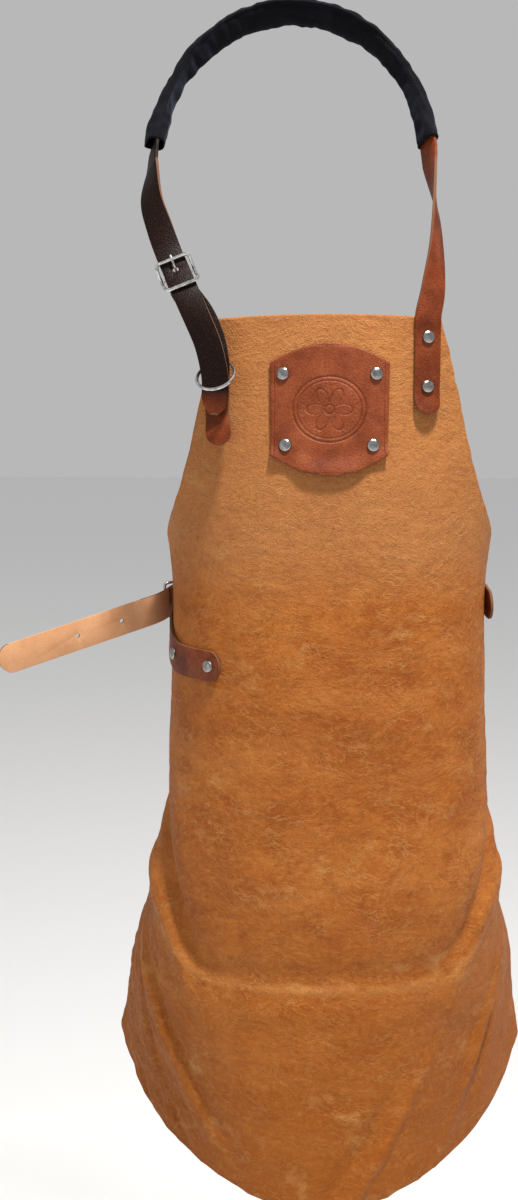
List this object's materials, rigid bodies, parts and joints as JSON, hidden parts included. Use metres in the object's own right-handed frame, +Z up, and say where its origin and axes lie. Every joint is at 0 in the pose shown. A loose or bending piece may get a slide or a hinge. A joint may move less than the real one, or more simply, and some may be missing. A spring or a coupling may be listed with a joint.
{
  "type": "leather apron",
  "caption": "Long leather work apron with a padded buckled neck strap, a riveted bib patch, a keeper ring and a buckled waist strap.",
  "frame": {"origin": "middle of the neck pad's inner face, where the loop rests on the neck or on a hook", "axes": "+Z up along the hanging apron, -Y the side the wearer's front faces, +X to the viewer's right when seen from the front"},
  "size_m": [0.5325, 0.258, 1.1648],
  "materials": {
    "panel_leather": "oiled pull-up grain, cognac tan",
    "strap_leather": "red-brown vegetable tanned, cut edges paler",
    "patch_leather": "red-brown, embossed",
    "tan_leather": "natural flesh side, matte",
    "pad_fabric": "black woven cover over foam",
    "nickel": "polished nickel plate"
  },
  "bodies": {
    "apron": {"apron_panel": "panel_leather", "logo_patch": "patch_leather", "patch_rivet_top_left_cap": "nickel", "patch_rivet_top_left_back": "nickel", "patch_rivet_top_right_cap": "nickel", "patch_rivet_top_right_back": "nickel", "patch_rivet_bottom_left_cap": "nickel", "patch_rivet_bottom_left_back": "nickel", "patch_rivet_bottom_right_cap": "nickel", "patch_rivet_bottom_right_back": "nickel", "neck_strap": "strap_leather", "neck_pad": "pad_fabric", "neck_rivet_upper_cap": "nickel", "neck_rivet_upper_back": "nickel", "neck_rivet_lower_cap": "nickel", "neck_rivet_lower_back": "nickel", "neck_buckle_strap": "strap_leather", "buckle_strap_rivet_cap": "nickel", "buckle_strap_rivet_back": "nickel", "waist_tab": "strap_leather", "waist_tab_rivet_front_cap": "nickel", "waist_tab_rivet_front_back": "nickel", "waist_tab_rivet_rear_cap": "nickel", "waist_tab_rivet_rear_back": "nickel", "waist_strap": "strap_leather", "waist_strap_rivet_front_cap": "nickel", "waist_strap_rivet_front_back": "nickel", "waist_strap_rivet_rear_cap": "nickel", "waist_strap_rivet_rear_back": "nickel"},
    "neck_buckle": {"neck_buckle_frame": "nickel"},
    "neck_prong": {"neck_buckle_prong": "nickel"},
    "ring": {"keeper_ring": "nickel"},
    "waist_buckle": {"waist_buckle_frame": "nickel"},
    "waist_prong": {"waist_buckle_prong": "nickel"},
    "waist_tail": {"waist_strap_tail": "tan_leather"}
  },
  "joints": [
    {"name": "neck_buckle_tilts_on_fold", "type": "hinge", "parent": "apron", "child": "neck_buckle", "pos_m": [-0.10267, -0.10045, -0.25025], "axis": [0.9201, 0.1293, 0.3697], "range_deg": [-4, 4]},
    {"name": "neck_prong_lifts", "type": "hinge", "parent": "neck_buckle", "child": "neck_prong", "pos_m": [-0.10267, -0.10045, -0.25025], "axis": [0.9201, 0.1293, 0.3697], "range_deg": [0, 6]},
    {"name": "ring_slides_up_straps", "type": "slide", "parent": "apron", "child": "ring", "axis": [-0.1417, 0.081, 0.9866], "range_m": [0, 0.012]},
    {"name": "waist_buckle_tilts_on_fold", "type": "hinge", "parent": "apron", "child": "waist_buckle", "pos_m": [-0.11393, 0.03375, -0.57107], "axis": [-0.1002, -0.1798, 0.9786], "range_deg": [-4, 4]},
    {"name": "waist_prong_lifts", "type": "hinge", "parent": "waist_buckle", "child": "waist_prong", "pos_m": [-0.11393, 0.03375, -0.57107], "axis": [-0.1002, -0.1798, 0.9786], "range_deg": [0, 6]},
    {"name": "waist_tail_swings", "type": "hinge", "parent": "apron", "child": "waist_tail", "pos_m": [-0.12672, 0.02212, -0.57452], "axis": [0, 0, 1], "range_deg": [-25, 35]}
  ]
}
